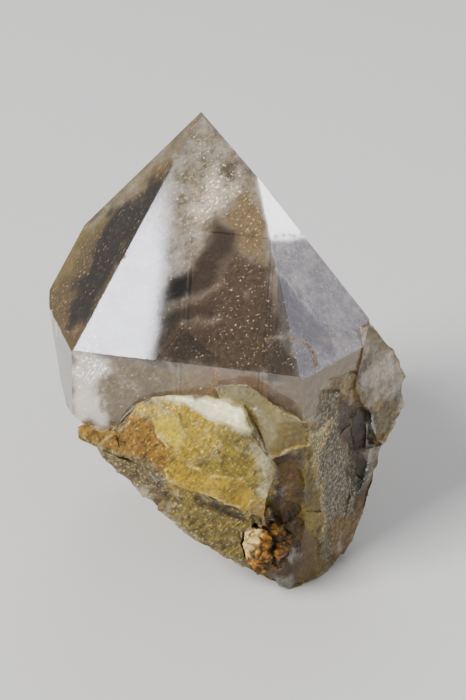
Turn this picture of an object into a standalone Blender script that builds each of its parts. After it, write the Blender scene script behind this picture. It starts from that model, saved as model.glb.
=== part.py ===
# A smoky quartz crystal broken off its bed, with yellow stained quartz grown over its front foot.
# Blender 4.5 script. Metres, +Z up, the viewer's side is -Y. Run it with blender --background --python part.py

import math

import bmesh
import bpy
from mathutils import Matrix, Vector, geometry, noise

MM = 0.001

# The crystal's own frame: its long axis stands almost upright, and its front face looks a little to the left.
POINT = (-5.84, -1.88, 85.14)
FRONT_AZIMUTH = -11.56
AXIS_LEAN = 1.22
PYRAMID_TILT = 51.79

# Pyramid faces: turn from the front face, tilt from the axis, and distance beyond the crystal's point.
PYRAMID_FACES = (
    (0, PYRAMID_TILT, 0.0),
    (-60, PYRAMID_TILT, 0.0),
    (60, PYRAMID_TILT, 5.49),
    (123.7, 55.2, 0.0),
    (-120, PYRAMID_TILT, 0.0),
    (180, PYRAMID_TILT, 4.0),
)

# Prism faces: turn from the front face and distance from the axis through the point.
PRISM_FACES = (
    (0, 29.4),
    (60, 36.4),
    (120, 25.4),
    (180, 30.0),
    (-120, 19.8),
    (-60, 29.35),
)

# The two prism faces at the front lean in a little towards the foot: azimuth, elevation, and a point on each.
LEANING_FACES = (
    (-11.6, -2.5, (10.1, -34.3, 34.3)),
    (48.4, -2.0, (20.2, -27.2, 31.3)),
)

# Breaks that end the crystal below: azimuth, elevation of the outward normal, and a point on the break.
BREAKS = (
    (-63.5, -41.7, (-28.6, -27.2, 34.2)),
    (-53.5, -49.0, (-8.4, -33.6, 14.0)),
    (98.0, -21.4, (27.8, -18.0, 15.0)),
    (74.5, -45.6, (23.4, -20.6, 2.8)),
    (30.8, -25.0, (13.5, -31.4, 0.1)),
    (-150.0, -38.0, (-12.0, 16.0, 8.3)),
    (172.0, -30.0, (4.0, 27.0, 12.3)),
    (-107.0, 29.5, (-30.0, 4.3, 61.9)),
    (-90.0, -12.0, (-35.7, -0.3, 51.4)),
    (-86.0, -20.0, (-31.5, -21.1, 34.6)),
)

# Plates of later growth on the back: prism turn, thickness, and the slanted plane where the plate stops.
GROWTH_PLATES = (
    (180, 0.8, (165.0, 58.0), (0.0, 26.0, 43.3)),
    (120, 0.9, (70.0, 48.0), (15.0, 8.0, 34.3)),
    (-120, 0.7, (-160.0, 35.0), (-22.0, 12.0, 41.3)),
)
PLATE_INSET = 0.4

# The yellow block that has grown over the front: a ledge on top, a shell-broken face, an undercut lower edge.
YELLOW_BLOCK = (
    (-24.4, -28.6, 29.9),
    (-21.1, -29.6, 35.5),
    (-16.9, -30.0, 40.2),
    (-12.9, -30.8, 41.4),
    (-3.6, -32.6, 42.3),
    (1.9, -36.6, 42.7),
    (-7.0, -34.4, 40.2),
    (-2.7, -36.8, 39.7),
    (1.1, -39.1, 39.3),
    (5.2, -38.9, 35.0),
    (7.9, -38.3, 30.5),
    (6.7, -39.2, 25.7),
    (5.3, -39.6, 20.9),
    (1.1, -39.9, 23.2),
    (-6.4, -38.2, 25.4),
    (-12.4, -35.9, 26.3),
    (-18.9, -32.5, 28.9),
    (-20.0, -20.0, 26.3),
    (6.0, -22.0, 22.3),
    (4.0, -24.0, 40.3),
)

# The grey-yellow block behind its right end.
GREY_BLOCK = (
    (-3.2, -33.1, 44.7),
    (0.2, -34.3, 45.9),
    (2.7, -35.3, 46.3),
    (6.6, -36.8, 42.5),
    (11.6, -37.6, 40.0),
    (13.1, -36.8, 39.3),
    (13.7, -36.9, 34.6),
    (9.7, -37.9, 33.8),
    (6.6, -38.0, 32.3),
    (1.0, -36.0, 34.3),
    (0.0, -24.0, 42.3),
    (10.0, -26.0, 34.3),
)

# The granular root under the yellow block, down to the foot.
ROOT_BLOCK = (
    (-25.2, -28.5, 29.0),
    (-24.6, -28.5, 27.1),
    (-22.7, -29.5, 25.9),
    (-20.5, -30.5, 24.7),
    (-18.6, -31.3, 23.1),
    (-15.8, -32.0, 21.6),
    (-13.4, -33.0, 20.8),
    (-11.7, -33.6, 19.7),
    (-11.6, -34.0, 17.7),
    (-10.9, -34.0, 15.7),
    (-8.7, -34.2, 13.6),
    (-6.8, -34.4, 11.9),
    (-4.8, -34.6, 10.9),
    (2.3, -34.8, 7.3),
    (7.5, -34.8, 5.0),
    (9.8, -33.7, 0.6),
    (10.9, -33.0, 0.0),
    (13.4, -31.8, 0.0),
    (5.5, -37.4, 20.0),
    (-6.0, -36.4, 23.9),
    (-15.0, -33.6, 27.3),
    (-9.0, -6.0, 10.3),
    (2.0, -16.0, 0.0),
    (12.0, -18.0, 16.3),
)

# The stained rim that runs out from the blocks to the left edge.
LEFT_RIM = (
    (-29.0, -26.6, 32.6),
    (-28.5, -27.8, 30.9),
    (-27.6, -28.4, 30.1),
    (-25.2, -29.2, 29.3),
    (-26.8, -28.6, 33.4),
    (-21.6, -30.6, 32.6),
    (-20.4, -31.2, 28.6),
    (-22.0, -22.0, 28.0),
    (-19.0, -24.0, 34.0),
)

# The milky, broken swelling on the right.
RIGHT_SWELLING = (
    (25.0, -20.8, 51.5),
    (24.6, -21.4, 46.9),
    (30.0, -17.4, 43.5),
    (33.0, -15.6, 37.3),
    (32.4, -15.8, 31.7),
    (30.9, -15.6, 24.3),
    (28.9, -16.4, 20.7),
    (25.6, -22.6, 32.3),
    (22.6, -25.0, 39.7),
    (26.4, -8.0, 43.6),
    (28.6, -3.0, 36.3),
    (25.0, -4.0, 23.3),
    (12.0, -12.0, 36.3),
)

# The stained rib under the swelling, which ends the right side below.
RIGHT_RIB = (
    (29.2, -17.8, 23.3),
    (27.9, -18.0, 15.0),
    (25.4, -19.5, 8.6),
    (23.6, -20.6, 2.8),
    (21.6, -22.4, 0.0),
    (24.6, -22.2, 24.3),
    (22.6, -23.6, 14.3),
    (20.6, -24.4, 4.3),
    (26.0, -9.0, 20.3),
    (23.0, -10.0, 4.3),
    (16.0, -16.0, 8.3),
)

# Long hollows: centre, the three radii, and the turn about the upright axis.
HOLLOWS = (
    ((24.0, -22.7, 24.8), (3.2, 2.7, 11.0), 48.0),
    ((10.8, -39.4, 18.3), (5.2, 6.8, 15.5), -12.0),
)

# The rusty lump at the lower front: centre and radii, and the play around it in its hollow.
LUMP_CENTRE = (6.4, -35.8, 11.9)
LUMP_RADII = (4.5, 4.2, 5.4)
LUMP_PLAY = 0.32
LUMP_ROUGHNESS = 1.5

# Surface mesh: the longest edge on flat crystal faces and on broken ones, and the height of the breaks' relief.
FLAT_EDGE = 6.0
BROKEN_EDGE = 2.7
BROKEN_RELIEF = 0.95
HIDDEN_RELIEF = 2.0
FINE_RELIEF = 0.45
LOWEST_RELIEF = 0.3
ROOM_SHARE = 0.45
ON_PLANE = 0.02


def clear_scene():
    for old in list(bpy.data.objects):
        bpy.data.objects.remove(old, do_unlink=True)


# A unit vector at an azimuth (0 towards the viewer, 90 to the right) and an elevation, in degrees.
def direction(azimuth, elevation):
    turn = math.radians(azimuth)
    rise = math.radians(elevation)
    return Vector((math.cos(rise) * math.sin(turn), -math.cos(rise) * math.cos(turn), math.sin(rise)))


# The normal of a crystal face: the tilt is the angle between the long axis and the normal.
def face_normal(turn, tilt):
    upright = direction(FRONT_AZIMUTH + turn, 90 - tilt)
    return Matrix.Rotation(math.radians(AXIS_LEAN), 3, "Y") @ upright


# Every flat plane of the crystal, as (normal, distance from the frame's origin).
def crystal_planes():
    point = Vector(POINT)
    planes = []
    for turn, tilt, beyond in PYRAMID_FACES:
        normal = face_normal(turn, tilt)
        planes.append((normal, normal.dot(point) + beyond))
    for turn, distance in PRISM_FACES:
        normal = face_normal(turn, 90)
        planes.append((normal, normal.dot(point) + distance))
    planes.append((Vector((0, 0, -1)), 0.0))
    return planes + planes_through(LEANING_FACES)


# The planes of one growth plate: one prism face moved out, all others drawn in, and the plate's upper end.
def plate_planes(turn, thickness, stop_facing, stop_point):
    moved = face_normal(turn, 90)
    planes = []
    for normal, distance in crystal_planes() + planes_through(BREAKS):
        beyond = thickness if (normal - moved).length < 1e-6 else -PLATE_INSET
        planes.append((normal, distance + beyond))
    stop = direction(*stop_facing)
    planes.append((stop, stop.dot(Vector(stop_point))))
    return planes


def planes_through(rows):
    planes = []
    for azimuth, elevation, through in rows:
        normal = direction(azimuth, elevation)
        planes.append((normal, normal.dot(Vector(through))))
    return planes


def object_from(bm, name):
    mesh = bpy.data.meshes.new(name)
    bm.to_mesh(mesh)
    bm.free()
    obj = bpy.data.objects.new(name, mesh)
    bpy.context.scene.collection.objects.link(obj)
    return obj


# The solid that lies behind every one of the planes, cut from a large cube.
def solid_behind(planes, name):
    bm = bmesh.new()
    bmesh.ops.create_cube(bm, size=400.0)
    for normal, distance in planes:
        everything = bm.verts[:] + bm.edges[:] + bm.faces[:]
        cut = bmesh.ops.bisect_plane(
            bm, geom=everything, dist=1e-5, plane_co=normal * distance, plane_no=normal, clear_outer=True
        )
        rim = [item for item in cut["geom_cut"] if isinstance(item, bmesh.types.BMEdge)]
        if rim:
            bmesh.ops.edgeloop_fill(bm, edges=rim)
    bmesh.ops.recalc_face_normals(bm, faces=bm.faces)
    return object_from(bm, name)


# The smallest convex block that holds all the corners.
def solid_block(corners, name):
    bm = bmesh.new()
    for corner in corners:
        bm.verts.new(corner)
    made = bmesh.ops.convex_hull(bm, input=bm.verts)
    loose = [item for item in made["geom_interior"] if isinstance(item, bmesh.types.BMVert)]
    bmesh.ops.delete(bm, geom=loose, context="VERTS")
    bmesh.ops.recalc_face_normals(bm, faces=bm.faces)
    return object_from(bm, name)


# An upright egg shape, for a hollow.
def solid_egg(centre, radii, turn, name):
    bm = bmesh.new()
    bmesh.ops.create_icosphere(bm, subdivisions=3, radius=1.0)
    place = Matrix.Translation(centre) @ Matrix.Rotation(math.radians(turn), 4, "Z") @ Matrix.Diagonal((*radii, 1))
    bmesh.ops.transform(bm, matrix=place, verts=bm.verts)
    return object_from(bm, name)


# Applies one Boolean to the object and removes the helper.
def combine(obj, other, operation):
    modifier = obj.modifiers.new(operation, "BOOLEAN")
    modifier.operation = operation
    modifier.object = other
    graph = bpy.context.evaluated_depsgraph_get()
    result = bpy.data.meshes.new_from_object(obj.evaluated_get(graph))
    obj.modifiers.clear()
    obj.data = result
    bpy.data.objects.remove(other, do_unlink=True)


# Joins flat neighbours, drops slivers, and splits every edge to the length asked for on each side of it.
def prepare_edges(bm, planes):
    bmesh.ops.remove_doubles(bm, verts=bm.verts, dist=0.03)
    bmesh.ops.dissolve_limit(bm, angle_limit=math.radians(0.4), verts=bm.verts, edges=bm.edges)
    for edge in bm.edges[:]:
        flat = all(is_flat(face, planes) for face in edge.link_faces)
        cuts = int(edge.calc_length() / (FLAT_EDGE if flat else BROKEN_EDGE))
        if cuts > 0:
            bmesh.ops.subdivide_edges(bm, edges=[edge], cuts=cuts)


def is_flat(face, planes):
    for normal, distance in planes:
        if all(abs(normal.dot(vert.co) - distance) < ON_PLANE for vert in face.verts):
            return True
    return False


# Fills one flat outline with even triangles: its own corners and a triangular grid inside it.
# An outline too narrow for the grid stays one face.
def fill_face(outline, normal, spacing):
    across = (outline[1] - outline[0]).normalized()
    up = normal.cross(across)
    start = outline[0]
    flat = [Vector(((point - start).dot(across), (point - start).dot(up))) for point in outline]
    low = Vector((min(p.x for p in flat), min(p.y for p in flat)))
    high = Vector((max(p.x for p in flat), max(p.y for p in flat)))
    inner = []
    row_height = spacing * math.sqrt(3) / 2
    rows = int((high.y - low.y) / row_height) + 1
    columns = int((high.x - low.x) / spacing) + 1
    for row in range(rows):
        for column in range(columns):
            shift = 0.5 * (row % 2)
            spot = Vector((low.x + (column + shift) * spacing, low.y + row * row_height))
            if inside(spot, flat) and clearance(spot, flat) > 0.5 * spacing:
                inner.append(spot)
    count = len(flat)
    if not inner:
        return outline, [tuple(range(count))]
    border = [(index, (index + 1) % count) for index in range(count)]
    points, _, triangles, sources, _, _ = geometry.delaunay_2d_cdt(flat + inner, border, [], 1, 1e-6)
    placed = []
    for point, source in zip(points, sources):
        corner = min(source, default=count)
        placed.append(outline[corner] if corner < count else start + across * point.x + up * point.y)
    return placed, triangles


def inside(spot, outline):
    result = False
    for first, second in zip(outline, outline[1:] + outline[:1]):
        if (first.y > spot.y) != (second.y > spot.y):
            crossing = first.x + (spot.y - first.y) * (second.x - first.x) / (second.y - first.y)
            if spot.x < crossing:
                result = not result
    return result


def clearance(spot, outline):
    nearest = math.inf
    for first, second in zip(outline, outline[1:] + outline[:1]):
        near, share = geometry.intersect_point_line(spot, first, second)
        share = min(max(share, 0.0), 1.0)
        nearest = min(nearest, (first.lerp(second, share) - spot).length)
    return nearest


# Rebuilds the solid with even triangles on each of its flat faces.
def remesh_faces(obj, planes):
    bm = bmesh.new()
    bm.from_mesh(obj.data)
    prepare_edges(bm, planes)
    fresh = bmesh.new()
    for face in bm.faces:
        outline = [loop.vert.co.copy() for loop in face.loops]
        spacing = FLAT_EDGE if is_flat(face, planes) else BROKEN_EDGE
        points, triangles = fill_face(outline, face.normal.normalized(), spacing)
        made = [fresh.verts.new(point) for point in points]
        for triangle in triangles:
            fresh.faces.new([made[index] for index in triangle])
    bm.free()
    bmesh.ops.remove_doubles(fresh, verts=fresh.verts, dist=0.001)
    bmesh.ops.triangulate(fresh, faces=fresh.faces)
    bmesh.ops.recalc_face_normals(fresh, faces=fresh.faces)
    fresh.to_mesh(obj.data)
    fresh.free()


# How far a broken surface is pushed at a point: wide lumps, sharp ledges and small grains.
# The underside and the back are broken deeper, and inwards only.
def relief(point, normal):
    wide = noise.noise(point * 0.11)
    ledge = noise.noise(point * 0.23 + Vector((7.0, 3.0, 5.0)))
    stepped = math.floor(ledge * 4.0) / 4.0
    grain = noise.noise(point * 0.55 + Vector((1.0, 9.0, 4.0)))
    hidden = min(max(normal.dot(Vector((-0.2, 0.75, -0.6))) * 2.0, 0.0), 1.0)
    height = BROKEN_RELIEF + hidden * (HIDDEN_RELIEF - BROKEN_RELIEF)
    return height * (wide + 1.3 * stepped - 0.6 * hidden) + FINE_RELIEF * grain


# The part of a move that keeps a point on every one of the planes with these normals.
def along_planes(move, normals):
    square = []
    for normal in normals:
        rest = normal.copy()
        for axis in square:
            rest -= axis * rest.dot(axis)
        if rest.length > 0.05:
            square.append(rest.normalized())
    for axis in square:
        move = move - axis * move.dot(axis)
    return move


# The longest move of a point that can't fold the triangles around it: a share of their lowest height.
def room_around(vert):
    heights = [2 * face.calc_area() / max(edge.calc_length() for edge in face.edges) for face in vert.link_faces]
    return ROOM_SHARE * min(heights)


# Roughens the broken faces. A point on a crystal face, or on the foot, only slides along it.
def roughen(obj, planes):
    bm = bmesh.new()
    bm.from_mesh(obj.data)
    bm.normal_update()
    moves = []
    for vert in bm.verts:
        held = [normal for normal, distance in planes if abs(normal.dot(vert.co) - distance) < ON_PLANE]
        if all(is_flat(face, planes) for face in vert.link_faces):
            moves.append(Vector((0, 0, 0)))
            continue
        room = room_around(vert)
        height = min(max(relief(vert.co, vert.normal), -room), room)
        moves.append(along_planes(vert.normal * height, held))
    for vert, move in zip(bm.verts, moves):
        lowest = min(vert.co.z, LOWEST_RELIEF)
        vert.co += move
        vert.co.z = max(vert.co.z, lowest)
    bm.to_mesh(obj.data)
    bm.free()


# The lump is an egg of rough knobs. The play makes the same shape larger, for its hollow.
def solid_lump(play, name):
    bm = bmesh.new()
    bmesh.ops.create_icosphere(bm, subdivisions=3, radius=1.0)
    for vert in bm.verts:
        out = vert.co.normalized()
        knob = LUMP_ROUGHNESS * noise.noise(out * 1.9 + Vector((3.0, 1.0, 8.0)))
        vert.co = Vector(tuple(axis * radius for axis, radius in zip(out, LUMP_RADII)))
        vert.co += out * (knob + play)
        vert.co += Vector(LUMP_CENTRE)
    return object_from(bm, name)


def material(name, colour, roughness, transmission):
    made = bpy.data.materials.new(name)
    made.use_nodes = True
    shader = made.node_tree.nodes["Principled BSDF"]
    shader.inputs["Base Color"].default_value = (*colour, 1.0)
    shader.inputs["Roughness"].default_value = roughness
    shader.inputs["Metallic"].default_value = 0.0
    shader.inputs["Transmission Weight"].default_value = transmission
    shader.inputs["IOR"].default_value = 1.544
    return made


# The quartz: the crystal, its blocks and its swelling joined in one solid, then broken rough.
def make_quartz():
    flat_planes = crystal_planes()
    quartz = solid_behind(flat_planes + planes_through(BREAKS), "quartz_crystal")
    for plate in GROWTH_PLATES:
        planes = plate_planes(*plate)
        combine(quartz, solid_behind(planes, "plate"), "UNION")
        flat_planes = flat_planes + planes
    for corners in (ROOT_BLOCK, LEFT_RIM, RIGHT_RIB, RIGHT_SWELLING, GREY_BLOCK, YELLOW_BLOCK):
        combine(quartz, solid_block(corners, "block"), "UNION")
    for centre, radii, turn in HOLLOWS:
        combine(quartz, solid_egg(centre, radii, turn, "hollow"), "DIFFERENCE")
    remesh_faces(quartz, flat_planes)
    roughen(quartz, flat_planes)
    combine(quartz, solid_lump(LUMP_PLAY, "pocket"), "DIFFERENCE")
    return quartz


# Moves everything so that the middle of the footprint is the origin, and turns millimetres into metres.
def settle(objects, whole):
    corners = [vert.co for vert in whole.data.vertices]
    middle_x = (min(c.x for c in corners) + max(c.x for c in corners)) / 2
    middle_y = (min(c.y for c in corners) + max(c.y for c in corners)) / 2
    place = Matrix.Scale(MM, 4) @ Matrix.Translation((-middle_x, -middle_y, 0))
    for obj in objects:
        obj.data.transform(place)
        obj.data.update()


def main():
    clear_scene()
    quartz = make_quartz()
    lump = solid_lump(0.0, "iron_oxide_lump")
    quartz.data.materials.clear()
    quartz.data.materials.append(material("smoky_quartz", (0.62, 0.55, 0.46), 0.08, 0.7))
    lump.data.materials.append(material("iron_oxide", (0.34, 0.15, 0.05), 0.8, 0.0))
    settle((quartz, lump), quartz)


main()
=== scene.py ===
import math

import bmesh
import bpy
import numpy as np
from mathutils import Matrix, Vector


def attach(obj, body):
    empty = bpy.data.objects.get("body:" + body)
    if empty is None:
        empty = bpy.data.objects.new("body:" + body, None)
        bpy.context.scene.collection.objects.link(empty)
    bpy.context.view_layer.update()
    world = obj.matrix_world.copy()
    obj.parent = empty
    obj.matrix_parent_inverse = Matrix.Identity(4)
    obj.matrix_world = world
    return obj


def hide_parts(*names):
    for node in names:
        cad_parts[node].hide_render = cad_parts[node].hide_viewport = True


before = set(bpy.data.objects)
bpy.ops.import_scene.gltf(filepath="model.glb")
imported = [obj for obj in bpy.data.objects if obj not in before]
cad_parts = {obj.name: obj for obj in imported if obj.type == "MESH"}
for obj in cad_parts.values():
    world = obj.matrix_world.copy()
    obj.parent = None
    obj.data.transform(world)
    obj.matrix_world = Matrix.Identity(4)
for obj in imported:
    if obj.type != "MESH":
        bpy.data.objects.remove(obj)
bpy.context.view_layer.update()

mm = 0.001
pyramidTilt = 51.79         # degrees between a pyramid face and the plane across the long axis

# The crystal's own frame, in mm and degrees.
crystal = {
    "point": (-5.84, -1.88, 85.14),
    "frontAzimuth": -11.56,
    "lean": 1.22,
    # faces set by their turn from the front face, their tilt, and how far past the point they lie
    "turnedFaces": {
        "left": (-60, pyramidTilt, 0.0), "front": (0, pyramidTilt, 0.0), "right": (60, pyramidTilt, 5.49),
        "leftPrism": (-60, 90, 29.35),
    },
    # faces set by the azimuth and elevation of their normal, and a place on them
    "placedFaces": {
        "frontPrism": (-11.6, -2.5, (10.1, -34.3, 34.3)),
        "rightPrism": (48.4, -2.0, (20.2, -27.2, 31.3)),
    },
    "onFace": 0.02,         # mm: a place this near a face's plane lies on it
    "nearFace": 0.05,       # the same for what is painted on the face
}

# The view from the front: the place looked at, how high the eye stands, how far away it is, and the lens.
eye = {
    "lookAt": (0.0, 0.0, 34.4),
    "elevation": 28.2,
    "distance": 320.0,
    "lensPixels": 1600.0,
    "width": 466,
    "height": 700,
    "sensor": 36.0,
}


# A unit vector at an azimuth (0 towards the viewer, 90 to the right) and an elevation, in degrees.
def direction(azimuth, elevation):
    turn, rise = math.radians(azimuth), math.radians(elevation)
    return np.array([math.cos(rise) * math.sin(turn), -math.cos(rise) * math.cos(turn), math.sin(rise)])


# The normal of a crystal face: the upright direction at the face's turn, leaned about Y with the long axis.
def faceNormal(turn, tilt):
    lean = np.array(Matrix.Rotation(math.radians(crystal["lean"]), 3, "Y"))
    return lean @ direction(crystal["frontAzimuth"] + turn, 90 - tilt)


point = np.array(crystal["point"])
namedFaces = {}             # each face as its normal and its distance from the frame's origin
for name, (turn, tilt, beyond) in crystal["turnedFaces"].items():
    normal = faceNormal(turn, tilt)
    namedFaces[name] = (normal, normal @ point + beyond)
for name, (azimuth, elevation, through) in crystal["placedFaces"].items():
    normal = direction(azimuth, elevation)
    namedFaces[name] = (normal, normal @ np.array(through))

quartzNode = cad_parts["quartz_crystal"]
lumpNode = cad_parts["iron_oxide_lump"]
corners = np.array([v.co[:] for v in quartzNode.data.vertices]) / mm
toFrame = corners[corners[:, 2].argmax()] - point        # mm: from the crystal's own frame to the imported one

eyeRise = math.radians(eye["elevation"])
forward = np.array([0.0, math.cos(eyeRise), -math.sin(eyeRise)])
upward = np.array([0.0, math.sin(eyeRise), math.cos(eyeRise)])
rightward = np.array([1.0, 0.0, 0.0])
eyePlace = np.array(eye["lookAt"]) - forward * eye["distance"]


# Where places are seen from the front, in pixels: the way across and up over the depth, times the lens.
def seenAt(places):
    away = places - eyePlace
    depth = away @ forward
    across = eye["width"] / 2 + eye["lensPixels"] * (away @ rightward) / depth
    down = eye["height"] / 2 - eye["lensPixels"] * (away @ upward) / depth
    return across, down


# The straight line of sight through a pixel, as a unit vector.
def sightLine(x, y):
    line = forward * eye["lensPixels"] + rightward * (x - eye["width"] / 2) + upward * (eye["height"] / 2 - y)
    return line / np.linalg.norm(line)


# The place on a named face that is seen at a pixel: where the line of sight meets the face's plane.
def onFace(x, y, name):
    normal, distance = namedFaces[name]
    line = sightLine(x, y)
    return eyePlace + line * (distance - eyePlace @ normal) / (line @ normal)


# How squarely each place looks to the viewer: the cosine between its normal and the way to the eye.
def squareness(places, facing):
    towards = eyePlace - places
    towards /= np.linalg.norm(towards, axis=1)[:, None]
    return np.sum(towards * facing, axis=1)


# Which places lie on a named face's plane and look its way.
def liesOn(name, places, facing):
    normal, distance = namedFaces[name]
    return (np.abs(places @ normal - distance) < crystal["nearFace"]) & (facing @ normal > 0.5)


# Patterns, all worked out over whole arrays.

# Smooth steps: 0 below low, 1 above high, an S curve between.
def smooth(value, low, high):
    share = np.clip((value - low) / (high - low), 0, 1)
    return share * share * (3 - 2 * share)


# A fixed scattered number from -1 to 1 for each whole-number cell: its parts times large odd numbers, mixed.
def scattered(cell, seed):
    mixed = cell[:, 0] * 374761393 + cell[:, 1] * 668265263 + cell[:, 2] * 1440662683 + seed * 144665
    mixed &= 0xFFFFFFFF
    mixed = ((mixed ^ (mixed >> 13)) * 1274126177) & 0xFFFFFFFF
    return ((mixed ^ (mixed >> 16)) & 0xFFFF) / 32767.5 - 1


# Cloudy noise: scattered numbers at the cell corners, blended smoothly between the eight around each point.
def cloud(points, seed=0):
    cell = np.floor(points).astype(np.int64)
    part = points - cell
    part = part * part * (3 - 2 * part)
    total = np.zeros(len(points))
    for corner in range(8):
        step = np.array([corner & 1, (corner >> 1) & 1, corner >> 2])
        weight = np.prod(np.where(step == 1, part, 1 - part), axis=1)
        total += weight * scattered(cell + step, seed)
    return total


# Layers of cloud, each twice as fine and half as strong as the last.
def layered(points, seed=0, layers=3):
    total = np.zeros(len(points))
    for layer in range(layers):
        total += cloud(points * 2.0 ** layer, seed + 31 * layer) / 2.0 ** layer
    return total


# Cloud patterns by name: cells per mm, seed, and how many layers.
clouds = {
    "frost": (1.1, 5, 3), "shellBend": (0.2, 8, 1), "ripplePatches": (0.3, 9, 2), "knobBend": (0.6, 3, 1),
    "rootSwell": (0.28, 4, 2), "breakBend": (0.17, 18, 1), "ridges": ((0.5, 0.5, 1.6), 44, 2),
    "outlineAcross": (0.45, 71, 2), "outlineDown": (0.45, 72, 2), "faceAcross": (0.3, 171, 3),
    "faceDown": (0.3, 172, 3), "glint": (0.4, 97, 2), "lineSwell": (0.45, 85, 1), "goldenStain": (0.1, 91, 3),
    "rustyStain": (0.16, 93, 3), "narrowSmoke": (0.7, 95, 2), "wideSmoke": (0.16, 96, 2),
    "lumpBend": (0.5, 50, 1), "lumpRust": (0.9, 63, 3), "lumpCream": (0.9, 61, 3),
}


# A named cloud pattern at each place, moved on by a number of cells.
def pattern(name, places, shift=0.0):
    cellsPerMm, seed, layers = clouds[name]
    return layered(places * cellsPerMm + shift, seed, layers)


# Each place pushed a little in all three ways by three clouds, in mm.
def nudged(places, reach, cellsPerMm, seed):
    return places + reach * np.stack([cloud(places * cellsPerMm, seed + k) for k in range(3)], axis=1)


# Where places are seen, in pixels, moved about by two cloud patterns so that outlines come out ragged.
def raggedSeen(places, reach, kind):
    across, down = seenAt(places)
    return across + reach * pattern(kind + "Across", places), down + reach * pattern(kind + "Down", places)


# Grains: each cell holds one seed point. Gives the distance to the nearest, to the second nearest, and a
# number that belongs to the nearest.
def grains(points, seed=0):
    cell = np.floor(points).astype(np.int64)
    first = np.full(len(points), 9.0)
    second = np.full(len(points), 9.0)
    mark = np.zeros(len(points))
    for dx, dy, dz in np.ndindex(3, 3, 3):
        near = cell + np.array([dx, dy, dz]) - 1
        spot = near + 0.5 + 0.42 * np.stack([scattered(near, seed + k) for k in (1, 2, 3)], axis=1)
        away = np.linalg.norm(points - spot, axis=1)
        closer = away < first
        second = np.where(closer, first, np.minimum(second, away))
        mark = np.where(closer, scattered(near, seed + 4), mark)
        first = np.where(closer, away, first)
    return first, second, mark


# The distance from each pixel to a straight stretch from a to b.
def toStretch(x, y, a, b):
    (ax, ay), (bx, by) = a, b
    along = ((x - ax) * (bx - ax) + (y - ay) * (by - ay)) / max((bx - ax) ** 2 + (by - ay) ** 2, 1e-9)
    along = np.clip(along, 0, 1)
    return np.hypot(x - ax - along * (bx - ax), y - ay - along * (by - ay))


# The distance from each pixel to an open line: the least to any of its stretches.
def besideLine(x, y, line):
    return np.min([toStretch(x, y, a, b) for a, b in zip(line, line[1:])], axis=0)


# How far each pixel is inside an outline: the distance to its nearest side, negative outside. A pixel is
# inside where a level line from it crosses the sides an odd number of times.
def insideBy(x, y, outline):
    closed = outline + outline[:1]
    inside = np.zeros(len(x), bool)
    for (ax, ay), (bx, by) in zip(closed, closed[1:]):
        if ay != by:
            inside ^= ((ay > y) != (by > y)) & (x < ax + (y - ay) * (bx - ax) / (by - ay))
    nearest = besideLine(x, y, closed)
    return np.where(inside, nearest, -nearest)


# A line with its corners cut twice, a quarter of the way along each side.
def rounded(line):
    spots = np.array(line, float)
    for turn in range(2):
        cut = np.stack([0.75 * spots[:-1] + 0.25 * spots[1:], 0.25 * spots[:-1] + 0.75 * spots[1:]], axis=1)
        spots = np.concatenate([spots[:1], cut.reshape(-1, 2), spots[-1:]])
    return [tuple(spot) for spot in spots]


# A colour as it is listed, 0 to 255, turned into the linear numbers that a shader takes.
def shade(red, green, blue):
    value = np.array([red, green, blue]) / 255
    return np.where(value <= 0.04045, value / 12.92, ((value + 0.055) / 1.055) ** 2.4)


# The quartz: a finer copy of the solid, with its breaks worked over.

mesh = {
    "frontEdge": 0.80,      # longest edge in mm where a crystal face looks to the front
    "blockEdge": 0.46,      # and where a break does
    "brokenEdge": 1.3,      # on breaks that face away
    "rearExtra": 0.5,       # more than that at the rear
    "rearFrom": 5.0,        # mm behind the middle where the rear begins
    "rearTo": 12.0,         # and where it is reached
    "flatEdge": 3.0,        # on flat faces that face away
    "fineFrom": (-0.12, 0.02),      # squareness over which the mesh gets fine
    "rounds": 7,            # times that long edges are halved, at most
    "merge": 2e-6,          # m: corners nearer than this are one
    "flatPatch": 12.0,      # mm2: a flat patch larger than this is a crystal face
    "sameTurn": 150,        # steps of a normal's parts that tell patches apart
    "sameOffset": 0.15,     # mm: the same for their distance
    "settle": 1.1,          # mm over which the breaks' relief fades out towards a crystal face
    "settleEdges": 9,       # edges over which that fading is looked for, at most
    "lowest": 0.05,         # mm: nothing is moved below this height
    "sharpFrom": 34.0,      # degrees between faces from which an edge stays sharp
}


# A merged copy of a node, halved until no edge is longer than asked for at its ends. Gives the bmesh.
def finerCopy(node, wantedEdge):
    bm = bmesh.new()
    bm.from_mesh(node.data)
    bmesh.ops.remove_doubles(bm, verts=bm.verts, dist=mesh["merge"])
    for turn in range(mesh["rounds"]):
        bm.normal_update()
        places = np.array([v.co[:] for v in bm.verts]) / mm - toFrame
        facing = np.array([v.normal[:] for v in bm.verts])
        wanted = wantedEdge(places, facing)
        bm.verts.index_update()
        longOnes = [e for e in bm.edges
                    if e.calc_length() / mm > 0.5 * (wanted[e.verts[0].index] + wanted[e.verts[1].index])]
        if not longOnes:
            break
        bmesh.ops.subdivide_edges(bm, edges=longOnes, cuts=1)
        bmesh.ops.triangulate(bm, faces=[f for f in bm.faces if len(f.verts) > 3])
    return bm


# The edge length wanted at each place: fine where the surface looks to the front, coarser elsewhere.
def quartzEdge(places, facing):
    seen = smooth(squareness(places, facing), *mesh["fineFrom"])
    onFlat = np.zeros(len(places), bool)
    for normal, distance in namedFaces.values():
        onFlat |= np.abs(places @ normal - distance) < crystal["onFace"]
    rear = mesh["rearExtra"] * smooth(places[:, 1], mesh["rearFrom"], mesh["rearTo"])
    away = np.where(onFlat, mesh["flatEdge"], mesh["brokenEdge"] + rear)
    towardsUs = np.where(onFlat, mesh["frontEdge"], mesh["blockEdge"])
    return away + (towardsUs - away) * seen


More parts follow.
